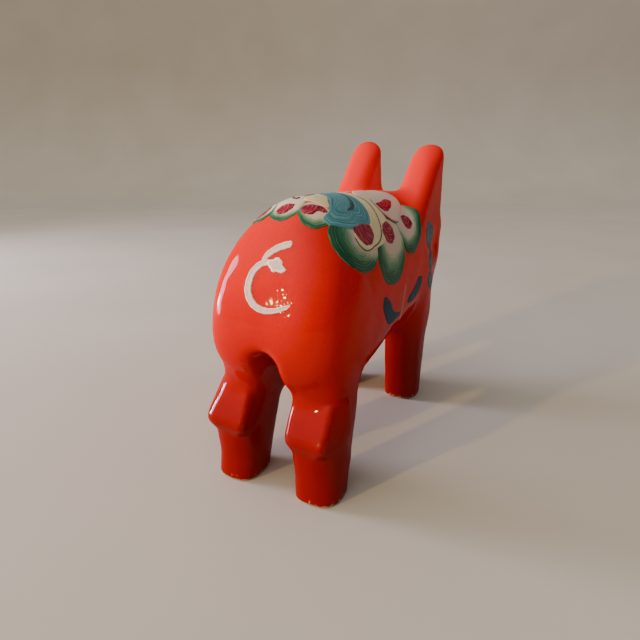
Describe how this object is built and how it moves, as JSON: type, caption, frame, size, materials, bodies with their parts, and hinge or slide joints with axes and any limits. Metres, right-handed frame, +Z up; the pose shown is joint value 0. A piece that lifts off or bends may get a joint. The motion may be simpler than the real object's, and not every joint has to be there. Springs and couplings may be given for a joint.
{
  "type": "carved wooden pig figurine",
  "caption": "Hand-carved wooden pig standing on four stub legs, red gloss lacquer with a painted rosette saddle, side strokes and a curled white tail",
  "frame": {"origin": "on the floor, midway between the tip of the snout and the points of the hocks, on the figure's plane of symmetry", "axes": "+Z up, the pig faces -Y with its tail at +Y, its left side is at +X"},
  "size_m": [0.0452, 0.1302, 0.1002],
  "materials": {
    "bare_pine": "planed",
    "red_gloss": "gloss",
    "white_paint": "gloss",
    "green_paint": "gloss",
    "crimson_paint": "gloss",
    "teal_paint": "gloss",
    "cream_paint": "gloss",
    "navy_paint": "gloss",
    "slate_paint": "gloss",
    "black_paint": "gloss"
  },
  "bodies": {
    "root": {"pine_body": "bare_pine", "red_lacquer": "red_gloss", "tail_curl": "white_paint", "petal_rear": "green_paint", "petal_rear_right": "green_paint", "petal_hip_right": "green_paint", "petal_flank_right": "green_paint", "petal_shoulder_right": "green_paint", "petal_front": "green_paint", "petal_shoulder_left": "green_paint", "petal_flank_left": "green_paint", "petal_hip_left": "green_paint", "petal_rear_left": "green_paint", "petal_hearts": "crimson_paint", "centre_swirl": "teal_paint", "cream_fan": "cream_paint", "navy_comma": "navy_paint", "ring_line": "navy_paint", "shoulder_strokes_right": "navy_paint", "shoulder_strokes_left": "navy_paint", "collar_right": "slate_paint", "collar_left": "slate_paint", "eyes": "white_paint", "pupils": "black_paint", "nostrils": "black_paint", "mouth_line": "white_paint"}
  },
  "joints": []
}
